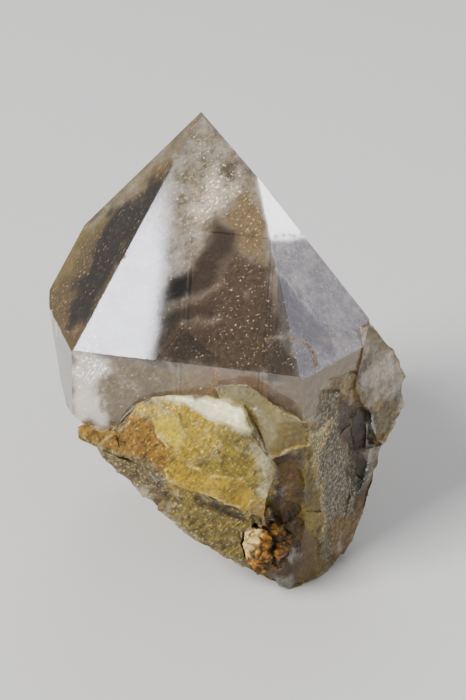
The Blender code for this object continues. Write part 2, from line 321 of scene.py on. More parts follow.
# Arrays of a bmesh: places in mm in the crystal's frame, faces, their normals and their areas.
def arraysOf(bm):
    bm.verts.index_update()
    places = np.array([v.co[:] for v in bm.verts]) / mm - toFrame
    faces = np.array([[v.index for v in f.verts] for f in bm.faces])
    cross = np.cross(places[faces[:, 1]] - places[faces[:, 0]], places[faces[:, 2]] - places[faces[:, 0]])
    area = np.linalg.norm(cross, axis=1) / 2
    return places, faces, cross / np.maximum(area * 2, 1e-12)[:, None], area


# True for each triangle that belongs to a large flat patch: triangles of the same plane are added up.
def flatOnes(places, faces, normals, area):
    offset = np.sum(places[faces[:, 0]] * normals, axis=1)
    key = np.round(np.column_stack([normals * mesh["sameTurn"], offset / mesh["sameOffset"]]))
    patch = np.unique(key.astype(np.int64), axis=0, return_inverse=True)[1].reshape(-1)
    return np.bincount(patch, weights=area)[patch] > mesh["flatPatch"]


# The way along the surface from each vertex to the nearest held one, over a few edges at most.
def wayFrom(places, faces, held):
    sides = np.concatenate([faces[:, [0, 1]], faces[:, [1, 2]], faces[:, [2, 0]]])
    ends = np.unique(np.sort(sides, axis=1), axis=0)
    length = np.linalg.norm(places[ends[:, 0]] - places[ends[:, 1]], axis=1)
    way = np.where(held, 0.0, 99.0)
    for turn in range(mesh["settleEdges"]):
        step = way.copy()
        np.minimum.at(step, ends[:, 0], way[ends[:, 1]] + length)
        np.minimum.at(step, ends[:, 1], way[ends[:, 0]] + length)
        way = step
    return way


# Vertex normals: the triangles' normals added up by area.
def vertexNormals(count, faces, normals, area):
    total = np.zeros((count, 3))
    for k in range(3):
        np.add.at(total, faces[:, k], normals * area[:, None])
    return total / np.maximum(np.linalg.norm(total, axis=1), 1e-12)[:, None]


# Outlines of the front's regions, in pixels of the front view.
regions = {
    "shellUpper": [(152.1, 417.5), (163.9, 412.4), (181.5, 417.5), (182.2, 436.6), (177.8, 446.9),
        (171.5, 455.4), (163.9, 445.4), (155.8, 432.2)],
    "shellMiddle": [(163.9, 412.4), (175.6, 404.3), (219.6, 422.7), (219.9, 439.5), (217.9, 448.3),
        (206.4, 454.9), (192.5, 464.5), (172.7, 457.9), (171.5, 455.4), (177.8, 446.9), (182.2, 436.6),
        (181.5, 417.5)],
    "blockFace": [(219.6, 422.7), (238.7, 429.3), (253.4, 433.7), (265.1, 454.2), (275.4, 468.9),
        (273.9, 486.5), (265.1, 501.2), (251.9, 507), (250.4, 514.4), (240.2, 508.5), (225.5, 504.1),
        (210.8, 496.8), (196.2, 492.4), (175.6, 495.3), (165.3, 483.6), (163.9, 468.9), (172.7, 457.9),
        (192.5, 464.5), (206.4, 454.9), (217.9, 448.3), (219.9, 439.5)],
    "orangeLobe": [(165.3, 468.9), (181.5, 463), (196.2, 468.9), (210.8, 476.2), (243.1, 477.7),
        (257.8, 501.2), (250.4, 512.9), (240.2, 507.8), (225.5, 503.4), (210.8, 496), (196.2, 491.6),
        (181.5, 486.5), (169.8, 480.6)],
    "whiteFibres": [(222.6, 424.9), (246, 429.3), (253.4, 433.7), (265.1, 454.2), (276.8, 468.9),
        (273.9, 486.5), (265.1, 501.2), (257.8, 502.6), (260.7, 480.6), (251.9, 463), (238.7, 448.3),
        (225.5, 439.5)],
    "rustCorner": [(99.3, 443.9), (108.1, 435.1), (114, 432.2), (128.7, 416.1), (138.9, 411.7),
        (152.1, 419), (156.5, 432.2), (163.9, 445.4), (171.2, 455.4), (172.7, 457.9), (163.9, 468.9),
        (143.3, 458.6), (118.4, 454.9), (102.3, 448.3)],
    "paleCorner": [(128.7, 416.1), (136, 404.3), (152.1, 397), (172.7, 402.9), (181.5, 417.5),
        (163.9, 412.4), (152.1, 417.5), (138.9, 411.7)],
    "ledge": [(152.1, 396.4), (187.4, 396), (209.4, 398.2), (228.4, 402.6), (244.6, 408.7), (253.4, 432.2),
        (238.7, 428.5), (219.6, 422.2), (175.6, 403.6)],
    "violetGrains": [(97.9, 443.9), (118.4, 454.9), (143.3, 458.6), (163.9, 468.9), (165.3, 483.6),
        (175.6, 495.3), (172.7, 504.1), (152.1, 492.4), (133.1, 479.9), (118.4, 471.1), (103.7, 461.5),
        (97.9, 451.3)],
    "greenGrains": [(172.7, 501.9), (165.3, 483.6), (175.6, 495.3), (196.2, 492.4), (210.8, 496.8),
        (225.5, 504.1), (240.2, 508.5), (250.4, 514.4), (253.4, 527.6), (247.5, 536.4), (251.9, 548.1),
        (251.9, 568.6), (231.4, 558.4), (210.8, 549.6), (196.2, 539.3), (181.5, 527.6), (171.2, 515.8)],
    "darkBand": [(193.2, 494.1), (210.8, 497.5), (225.5, 504.8), (246, 515.8), (250.4, 527.6),
        (231.4, 517.3), (210.8, 508.5), (196.2, 504.1)],
    "greyBlock": [(209.4, 397), (218.2, 384.1), (249.7, 384.1), (260.7, 392.6), (275.4, 407.6),
        (295.9, 419.7), (308.4, 423.4), (308.4, 445.4), (290, 448.3), (281.2, 453.5), (269.5, 454.9),
        (262.2, 448.3), (259.2, 433.7), (253.4, 432.2), (244.6, 408.7), (228.4, 402.9)],
    "greyBlockGold": [(275.4, 423.4), (308.4, 423.4), (308.4, 445.4), (290, 448.3), (281.2, 453.5),
        (269.5, 454.9), (265.1, 448.3), (281.2, 436.6)],
    "rim": [(73.7, 421.9), (90.5, 419.7), (114, 422.7), (114, 433.7), (99.3, 444.7), (86.1, 442.5),
        (75.9, 432.2)],
    "rimChip": [(89.8, 422.7), (111.1, 422.7), (111.8, 431.5), (99.3, 433.7), (90.5, 430)],
    "oliveHollow": [(265.1, 501.2), (273.9, 486.5), (276.8, 468.9), (269.5, 454.9), (281.2, 453.5),
        (290, 448.3), (308.4, 445.4), (310.6, 463), (317.9, 499.7), (320.8, 551), (310.6, 590.6),
        (288.6, 592.1), (291.5, 551), (279.8, 526.1), (266.6, 515.8)],
    "hollowRust": [(278.3, 463), (294.4, 457.1), (298.8, 477.7), (295.9, 507), (285.6, 512.9),
        (281.2, 486.5)],
    "hollowFoot": [(298.8, 521.7), (319.4, 543.7), (319.4, 573), (304.7, 583.3), (295.9, 565.7)],
    "silverStripe": [(310, 428.4), (314.6, 413.6), (322, 391.4), (340.5, 393.2), (342.3, 428.4),
        (349.7, 458), (357.1, 487.5), (353.4, 509.7), (344.2, 517.1), (329.4, 528.2), (331.2, 550.4),
        (322, 576.3), (320.1, 541.2), (321.1, 513.4), (314.6, 480.1), (310.9, 450.6)],
    "crumbEdge": [(305.3, 437.6), (314.6, 428.4), (331.2, 421), (327.5, 439.5), (318.3, 450.6),
        (320.1, 487.5), (324.8, 513.4), (329.4, 539.3), (322, 539.3), (320.1, 506), (312.7, 476.5),
        (310, 450.6)],
    "rustPatch": [(322, 389.5), (329.4, 380.3), (346, 372.9), (357.1, 374.7), (359, 384), (373.8, 391.4),
        (381.2, 406.2), (362.7, 406.2), (346, 400.6), (340.5, 391.4), (329.4, 389.5)],
    "groove": [(342.3, 402.5), (362.7, 406.2), (375.6, 409.9), (377.5, 428.4), (371.9, 450.6),
        (371.9, 476.5), (366.4, 494.9), (359, 506), (355.3, 487.5), (349.7, 458), (342.3, 428.4)],
    "whiteSeam": [(366.4, 424.7), (375.6, 422.8), (377.5, 439.5), (373.8, 461.7), (370.1, 483.8),
        (362.7, 487.5), (364.5, 461.7), (366.4, 439.5)],
    "fringe": [(366.4, 317.4), (396, 352.5), (408, 378.4), (401.5, 413.6), (392.3, 435.8), (379.3, 428.4),
        (381.2, 406.2), (373.8, 391.4), (359, 384), (359, 371), (368.2, 356.2)],
    "fringeStain": [(379.3, 400.6), (396, 396), (397.8, 413.6), (392.3, 432.1), (379.3, 428.4)],
    "prismFacet": [(300.7, 381.2), (322, 366.4), (346, 354.4), (371.9, 343.3), (368.2, 356.2), (359, 369.2),
        (346, 374.7), (331.2, 378.4), (322, 389.5), (314.6, 413.6), (305.3, 421), (300.7, 402.5)],
    "goldEdge": [(377.5, 428.4), (396, 428.4), (388.6, 446.9), (381.2, 469.1), (375.6, 483.8),
        (364.5, 502.3), (357.1, 509.7), (360.8, 494.9), (371.9, 472.8), (375.6, 450.6)],
    "fringeGold": [(371.9, 322.9), (384.9, 332.2), (388.6, 347), (377.5, 350.7), (371.9, 343.3)],
    "oliveStrip": [(303, 446), (313, 452), (318, 480), (322, 511), (324, 542), (322, 577), (308, 592),
        (296, 590), (303, 540), (300, 500)],
    "lowLobes": [(250, 500), (259, 499), (268, 505), (270, 514), (262, 523), (252, 519), (246, 510)],
    "glassRim": [(246, 440), (255, 438), (263, 452), (271, 466), (270, 484), (262, 498), (256, 500),
        (261, 480), (258, 462)],
    "ledgeShadow": [(246, 409), (251, 408), (266, 436), (263, 446), (256, 433)],
    "tipGlass": [(274, 575), (292, 577), (294, 592), (282, 592)],
    "tanLow": [(329.4, 517.1), (346, 515.3), (359, 506), (366.4, 494.9), (359, 517.1), (353.4, 539.3),
        (344.2, 559.7), (333.1, 568.9), (327.5, 565.2), (331.2, 543)],
}

# Outlines on one crystal face each: what is seen in it or behind it.
onFaces = {
    "stripWhole": ("frontPrism", [(60, 350), (310, 385), (310, 430), (60, 450)]),
    "rightWhole": ("right", [(240, 150), (390, 320), (380, 350), (300, 390), (255, 250)]),
    "leftWhole": ("left", [(210, 100), (190, 190), (70, 370), (30, 300), (40, 250)]),
    "frontOlive": ("front", [(238.9, 157.4), (252.3, 168.9), (260, 195.6), (269.6, 245.4), (271.5, 262.6),
        (246.6, 262.6), (233.2, 245.4), (223.6, 222.4), (231.3, 199.5)]),
    # a painted reflection of a soft light, pale bluish white over the front face's left part
    "frontLeft": ("front", [(162.4, 195.6), (152.9, 232), (162.4, 253), (170.1, 272.2), (166.3, 291.3),
        (162.4, 316.2), (158.6, 339.1), (152.9, 364), (68.7, 350.6), (122.3, 258.8)]),
    "leftPale": ("left", [(200.7, 111.5), (164.3, 145.9), (103.1, 203.3), (85.9, 224.3), (120.3, 207.1),
        (147.1, 180.3), (172, 163.1), (191.1, 138.3)]),
    "stripRight": ("frontPrism", [(210.3, 362.1), (217.9, 375.5), (296.3, 383.1), (304, 399.9),
        (212.2, 399.9)]),
    "frontBrown": ("front", [(271.5, 262.6), (281, 320), (294.4, 375.5), (300.2, 386.9), (212.2, 367.8),
        (154.8, 362.1), (158.6, 339.1), (163.4, 314.2), (173.9, 300.9), (210.3, 288.4), (223.6, 270.3),
        (235.1, 251.1), (246.6, 262.6)]),
    "frontMilk": ("front", [(204.5, 115.3), (238.9, 155.5), (256.2, 176.5), (261.9, 199.5), (240.9, 189.9),
        (223.6, 207.1), (212.2, 222.4), (206.4, 245.4), (198.8, 270.3), (172, 272.2), (162.4, 253),
        (152.9, 232), (147.1, 218.6), (173.9, 157.4)]),
    "frontGlitter": ("front", [(206.4, 170.8), (223.6, 163.1), (235.1, 176.5), (246.6, 193.7),
        (231.3, 195.6), (216, 207.1), (204.5, 222.4), (191.1, 222.4), (185.4, 207.1), (196.9, 195.6)]),
    "darkTop": ("front", [(221.7, 167), (233.2, 163.1), (237, 176.5), (227.5, 184.2), (219.8, 176.5)]),
    "darkMiddle": ("front", [(208.3, 226.3), (217.9, 222.4), (231.3, 233.9), (235.1, 251.1), (223.6, 270.3),
        (210.3, 288.4), (173.9, 300.9), (167.2, 298.9), (170.1, 276), (198.8, 270.3), (206.4, 245.4)]),
    "darkLower": ("front", [(166.3, 312.3), (185.4, 304.7), (212.2, 300.9), (217.9, 310.4), (196.9, 316.2),
        (181.6, 323.8), (164.3, 321.9)]),
    "darkStreaks": ("front", [(158.6, 323.8), (185.4, 325.7), (212.2, 327.6), (223.6, 341), (208.3, 358.2),
        (173.9, 358.2), (154.8, 354.4)]),
    "leftDark": ("left", [(173.9, 172.7), (162.4, 180.3), (147.1, 182.3), (131.8, 199.5), (105, 222.4),
        (97.4, 245.4), (85.9, 268.3), (78.3, 281.7), (72.5, 298.9), (64.9, 310.4), (68.7, 323.8),
        (84, 321.9), (97.4, 302.8), (124.2, 253), (162.4, 191.8)]),
    "leftOlive": ("left", [(76.3, 230.1), (53.4, 268.3), (50.5, 279.8), (59.1, 289.4), (68.7, 272.2),
        (84, 237.7), (103.1, 222.4), (97.4, 214.8)]),
    "leftEdge": ("leftPrism", [(47.2, 273.5), (60.2, 325.5), (73.2, 355.9), (75.4, 420), (64.5, 420),
        (55.8, 360.2), (47.2, 295.1)]),
    # a painted highlight, white along the left prism face
    "leftEdgeWhite": ("leftPrism", [(49.3, 284.3), (55.8, 295.1), (60.6, 327.7), (58, 334.2),
        (51.1, 308.2)]),
    # a painted reflection of a soft light, near white at the top of the right face
    "rightTop": ("right", [(258.6, 177), (304.1, 227.9), (300.9, 232.7), (290, 236.6), (279.2, 235.5),
        (270.5, 238.8), (264, 208.4)]),
    "rightShade": ("right", [(274.3, 266.4), (286.8, 279.8), (307.8, 306.6), (330, 335.3), (330, 354.4),
        (315.5, 348.7), (288.7, 337.2), (281, 310.4)]),
    # a painted shadow inside the chip
    "chipInside": ("right", [(286.8, 338.5), (300.9, 341.1), (312.8, 353.7), (314.9, 368.9), (296.5, 379.7),
        (292.2, 360.2)]),
    "stripMilk": ("frontPrism", [(73.2, 355.9), (102.5, 358.5), (106.8, 371), (98.6, 384.5), (101.8, 397.1),
        (103.1, 423.1), (75.4, 425.2)]),
    "stripSparkle": ("frontPrism", [(75.4, 358), (103.5, 360.2), (106.8, 373.2), (94.9, 381.9),
        (77.5, 373.2)]),
    "stripBrown": ("frontPrism", [(214.1, 368.9), (303, 384), (303, 420), (270.5, 407.9), (251, 388.4),
        (233.6, 384), (216.3, 384)]),
    "prismBrown": ("rightPrism", [(300.7, 381.2), (322, 366.4), (346, 354.4), (370.1, 343.3),
        (368.2, 356.2), (359, 369.2), (346, 374.7), (331.2, 378.4), (322, 389.5), (314.6, 413.6),
        (305.3, 419.1), (300.7, 402.5)]),
}

# Fine lines on one face each: cracks, growth steps, wisps and a painted highlight along an edge, with their
# half width in pixels.
linesOnFaces = {
    "chipRim": ("front", 1.5, [(257.5, 345), (264, 339.6), (272.7, 336.3), (286.1, 335.9)]),
    "chipRimRight": ("right", 2, [(286.1, 335.9), (298.7, 338.1), (311.3, 348.9), (316.5, 366.3)]),
    "crack": ("right", 0.8, [(272.4, 236.2), (285.8, 234.7), (291.5, 238.1), (304.9, 233.5)]),
    "growthStep": ("right", 1, [(273.4, 264.9), (286.8, 278.9), (307.8, 306.6), (326.9, 329.6)]),
    "wispHigh": ("front", 4, [(173.9, 303.2), (189.2, 299.9), (202.6, 295.1), (213.1, 291.3),
        (221.7, 283.6)]),
    "wispMiddle": ("front", 2.2, [(164.3, 314.2), (173.9, 309.5), (185.4, 306.6)]),
    "wispLow": ("front", 3.6, [(181.6, 322.9), (196.9, 321.9), (217.9, 320)]),
    "stripStep": ("frontPrism", 1, [(209.8, 360.2), (216.7, 375.4), (213.7, 384), (210.7, 395.3)]),
    "stripNotch": ("frontPrism", 1.3, [(108.3, 365.6), (105.7, 375.4), (98.1, 385.1), (101.8, 397.1),
        (102.2, 412.2)]),
    "edgeNick": ("front", 1, [(123.1, 254.4), (125.7, 264.8)]),
    # a painted highlight along the front face's lower edge
    "edgeLight": ("front", 0.7, [(73.2, 355.4), (110, 360.2), (149.1, 365), (183.8, 366.3)]),
}

relief = {
    "shellCell": 8.5, "shellDepth": 0.55,        # mm: shell-like hollows of the yellow and grey blocks
    "rippleEvery": 1.3, "rippleDepth": 0.045,    # mm: fine arcs in them
    "rootGrain": 1.05, "rootDepth": 0.36,        # mm: knobs of the granular root
    "rootUneven": 0.10, "rootSwell": 0.24,       # mm: knobs stand out unlike each other, and the root swells
    "stripeGrain": 0.75, "stripeDepth": 0.224,   # mm: grains of the silver stripe
    "breakCell": 7.5, "breakDepth": 0.9,         # mm: hollows of the breaks that face away
    "breakUneven": 0.3, "ridgeDepth": 0.1,       # mm: they lie unlike each other, with low ridges
    "frost": 0.05,                               # mm: fine roughness everywhere on breaks
    "shellBend": 0.35, "rootBend": 0.3, "breakBend": 0.5,     # how far clouds bend the grains, in cells
    # how far from a grain's seed the surface stays where it was, in cells, squared for the hollows
    "shellLevel": 0.45, "rootLevel": 0.55, "stripeLevel": 0.5, "breakLevel": 0.5,
    "rootDrawn": ((0.80, 0.0, -0.35), (0.0, 1.0, 0.0), (0.30, 0.0, 0.62)),    # knobs are drawn out upright
    "soften": 1.1, "ragged": 1.8,                # pixels: how soft and how ragged the regions' edges are
    "frontFrom": (-0.05, 0.12),                  # squareness over which the regions fade in
}
seeds = {"shells": 11, "knobs": 21, "stripe": 31, "breaks": 41, "lumpKnobs": 51, "lumpPits": 57}

# How far each region's surface stands out, in mm, so that its edge is a ledge.
ledges = {
    "shellUpper": 0.50, "shellMiddle": 0.28, "orangeLobe": 0.22, "rustCorner": 0.05, "paleCorner": 0.35,
    "ledge": 0.30, "darkBand": -0.35, "greyBlockGold": -0.2, "rimChip": 0.3, "whiteFibres": 0.05,
    "groove": -0.15, "rustPatch": 0.12, "fringeStain": -0.15, "hollowRust": 0.1,
}
grainy = ("violetGrains", "greenGrains", "darkBand", "rim", "rustCorner")
shelly = ("shellUpper", "shellMiddle", "blockFace", "orangeLobe", "paleCorner", "ledge", "greyBlock",
          "whiteFibres")
smoothOnes = ("prismFacet", "tipGlass")
crumbly = ("silverStripe", "crumbEdge", "rustPatch", "tanLow", "hollowFoot")


# The strongest share among several regions.
def anyOf(share, names):
    return np.max([share[name] for name in names], axis=0)


# Shells: hollows as the squared distance to the nearest grain seed, with ripples as arcs round the seeds.
def shellHeight(places):
    bend = relief["shellBend"] * pattern("shellBend", places)[:, None]
    near = grains(places / relief["shellCell"] + bend, seeds["shells"])[0]
    arcs = np.sin(near * relief["shellCell"] / relief["rippleEvery"] * 2 * math.pi) * relief["rippleDepth"]
    hollows = (near ** 2 - relief["shellLevel"]) * relief["shellDepth"]
    return hollows + arcs * (1 + pattern("ripplePatches", places))


# Knobs: round grains with sunk joints, each a little higher or lower, on a swelling ground.
def rootHeight(places):
    drawn = places @ np.array(relief["rootDrawn"])
    bend = relief["rootBend"] * pattern("knobBend", places)[:, None]
    near, _, mark = grains(drawn / relief["rootGrain"] + bend, seeds["knobs"])
    swell = relief["rootSwell"] * pattern("rootSwell", places)
    return (relief["rootLevel"] - near) * relief["rootDepth"] + relief["rootUneven"] * mark + swell


# Breaks: wide hollows, each a little higher or lower, with low ridges.
def breakHeight(places):
    bend = relief["breakBend"] * pattern("breakBend", places)[:, None]
    near, _, mark = grains(places / relief["breakCell"] + bend, seeds["breaks"])
    hollows = (near ** 2 - relief["breakLevel"]) * relief["breakDepth"] + relief["breakUneven"] * mark
    return hollows + relief["ridgeDepth"] * pattern("ridges", places)


# The height of the breaks' relief: fine frost and the regions' ledges, and shells, knobs, crumbs or plain
# breaks by their regions' shares.
def brokenHeight(places, share):
    height = relief["frost"] * pattern("frost", places)
    for name, lift in ledges.items():
        height += lift * share[name]
    root = anyOf(share, grainy)
    blocks = anyOf(share, shelly) * (1 - root)
    crumbsAndGlints = anyOf(share, crumbly)
    rest = 1 - np.clip(blocks + root + crumbsAndGlints + anyOf(share, smoothOnes), 0, 1)
    near = grains(places / relief["stripeGrain"], seeds["stripe"])[0]
    height += crumbsAndGlints * (relief["stripeLevel"] - near) * relief["stripeDepth"]
    return height + blocks * shellHeight(places) + root * rootHeight(places) + rest * breakHeight(places)


# Shares of each front region at each place: 1 inside the outline, fading over a ragged edge, 0 on what faces
# away.
def regionShares(places, facing, soften, ragged):
    across, down = raggedSeen(places, ragged, "outline")
    front = smooth(squareness(places, facing), *relief["frontFrom"])
    return {name: front * smooth(insideBy(across, down, outline), -soften, soften)
            for name, outline in regions.items()}


# How near each place is to the edge of any ledge that catches the light: 1 on it, 0 a pixel or two away.
def edgeShares(places, facing):
    across, down = raggedSeen(places, relief["ragged"], "outline")
    front = smooth(squareness(places, facing), *relief["frontFrom"])
    away = np.min([np.abs(insideBy(across, down, regions[name])) for name in brightEdges], axis=0)
    glint = smooth(pattern("glint", places), *painting["glintFrom"])
    return front * (1 - smooth(away, *painting["edgeWidth"])) * glint


# Shares of the outlines and lines that belong to one crystal face. Lines wander, and are wider in places.
def faceShares(places, facing):
    soften = painting["faceSoften"]
    across, down = raggedSeen(places, painting["faceRagged"], "face")
    shares = {}
    for name, (face, outline) in onFaces.items():
        shares[name] = liesOn(face, places, facing) * smooth(insideBy(across, down, outline), -soften, soften)
    across, down = seenAt(nudged(places, *painting["lineNudge"]))
    closest, furthest = painting["lineFade"]
    swell = 1 + painting["lineSwell"] * pattern("lineSwell", places)
    for name, (face, width, line) in linesOnFaces.items():
        away = besideLine(across, down, rounded(line)) / swell
        shares[name] = liesOn(face, places, facing) * (1 - smooth(away, width * closest, width * furthest))
    return shares


# The quartz's places, faces and normals: the finer copy, its breaks moved along their normals by the relief,
# which fades out towards the crystal faces. Gives also which vertices are held on those faces, and the
# height.
def shapeQuartz():
    bm = finerCopy(quartzNode, quartzEdge)
    places, faces, normals, area = arraysOf(bm)
    bm.free()
    flat = flatOnes(places, faces, normals, area)
    facing = vertexNormals(len(places), faces, normals, area)
    firstCorners = places[faces[:, 0]]
    onNamed = np.zeros(len(faces), bool)
    for normal, distance in namedFaces.values():
        onNamed |= np.abs(firstCorners @ normal - distance) < crystal["onFace"]
    flat &= onNamed | (squareness(firstCorners, normals) < 0)     # flats of the blocks in front are breaks
    held = np.zeros(len(places), bool)
    held[faces[flat].reshape(-1)] = True
    share = regionShares(places, facing, relief["soften"], relief["ragged"])
    height = brokenHeight(places, share) * smooth(wayFrom(places, faces, held), 0.0, mesh["settle"])
    moved = places + facing * height[:, None]
    moved[:, 2] = np.where(held, places[:, 2], np.maximum(moved[:, 2], mesh["lowest"]))
    print(f"quartz: {len(faces)} triangles, {int(flat.sum())} of them on crystal faces")
    return moved, faces, facing, held, height


# Colours and finishes over the quartz. Each row: region, tone, how far the row goes, clearness, roughness,
# mottling, white veil, rust, and white crumbs that are painted glints. None leaves a value as it is.
breakRows = (
    ("prismFacet", (158, 138, 112), 0.95, 0.6, 0.12, 0.25, 0.1, 0.0, 0.05),
    ("rustPatch", (150, 128, 92), 0.8, 0.4, 0.35, 1.0, 0.2, 0.30, 0.35),
    ("silverStripe", (92, 82, 56), 0.95, 0.3, 0.32, 1.0, 0.05, 0.03, 0.8),
    ("oliveHollow", (90, 60, 0), 0.97, 0.08, 0.22, 0.8, 0.0, 0.0, 0.12),
    ("oliveStrip", (150, 118, 4), 0.95, 0.12, 0.25, 0.9, 0.0, 0.0, 0.3),
    ("hollowRust", (150, 100, 0), 0.6, 0.12, 0.3, 0.8, 0.0, 0.0, 0.1),
    ("hollowFoot", (104, 68, 0), 0.7, 0.1, 0.3, 0.9, 0.0, 0.05, 0.15),
    ("groove", (66, 50, 30), 0.85, 0.6, 0.25, 0.6, 0.0, 0.05, 0.0),
    ("whiteSeam", (176, 166, 150), 0.7, 0.4, 0.35, 0.9, 0.45, 0.0, 0.3),
    ("crumbEdge", (176, 150, 84), 0.8, 0.25, 0.3, 1.0, 0.1, 0.15, 0.85),
    ("tanLow", (126, 86, 0), 0.9, 0.1, 0.45, 1.0, 0.05, 0.12, 0.5),
    ("fringe", (206, 192, 172), 0.85, 0.55, 0.12, 0.5, 0.25, 0.0, 0.1),
    ("goldEdge", (156, 112, 30), 0.8, 0.3, 0.3, 0.9, 0.05, 0.08, 0.4),
    ("fringeGold", (190, 166, 100), 0.8, 0.5, 0.2, 0.6, 0.1, 0.0, 0.1),
    ("fringeStain", (168, 132, 40), 0.8, 0.4, 0.25, 0.9, 0.1, 0.1, 0.2),
    ("greyBlock", (196, 180, 124), 0.95, 0.55, 0.10, 0.3, 0.1, 0.0, 0.1),
    ("greyBlockGold", (184, 142, 34), 0.75, 0.4, 0.12, 0.45, 0.0, 0.0, 0.1),
    ("blockFace", (186, 152, 4), 0.95, 0.15, 0.22, 1.0, 0.0, 0.0, 0.45),
    ("shellMiddle", (196, 156, 24), 0.95, 0.15, 0.16, 0.85, 0.05, 0.0, 0.45),
    ("shellUpper", (214, 178, 40), 0.95, 0.15, 0.14, 0.6, 0.05, 0.0, 0.2),
    ("orangeLobe", (206, 150, 6), 0.45, 0.15, 0.14, 0.6, 0.0, 0.0, 0.25),
    ("whiteFibres", (190, 164, 84), 0.5, 0.3, 0.2, 0.9, 0.15, 0.0, 0.45),
    ("glassRim", (222, 206, 160), 0.55, 0.4, 0.1, 0.5, 0.3, 0.0, 0.3),
    ("lowLobes", (200, 148, 30), 0.9, 0.3, 0.12, 0.6, 0.05, 0.0, 0.2),
    ("paleCorner", (214, 176, 64), 0.9, 0.2, 0.2, 0.9, 0.15, 0.0, 0.45),
    ("rustCorner", (170, 118, 10), 0.95, 0.1, 0.4, 1.0, 0.0, 0.20, 0.5),
    # the ledge's near-white tone is a painted highlight where light falls on it
    ("ledge", (252, 240, 188), 0.98, 0.12, 0.12, 0.3, 0.25, 0.0, 0.25),
    ("ledgeShadow", (150, 120, 58), 0.8, 0.4, 0.2, 0.5, 0.0, 0.0, 0.0),
    ("violetGrains", (118, 98, 52), 0.95, 0.2, 0.35, 1.0, 0.05, 0.0, 0.66),
    ("greenGrains", (136, 108, 10), 0.95, 0.15, 0.3, 1.0, 0.0, 0.0, 0.58),
    ("darkBand", (76, 54, 6), 0.8, 0.15, 0.4, 1.0, 0.0, 0.0, 0.4),
    ("rim", (190, 136, 10), 0.95, 0.12, 0.35, 1.0, 0.05, 0.26, 0.4),
    ("rimChip", (186, 172, 150), 0.9, 0.6, 0.12, 0.3, 0.2, 0.0, 0.0),
    ("tipGlass", (190, 184, 170), 0.9, 0.8, 0.08, 0.2, 0.1, 0.0, 0.0),
)

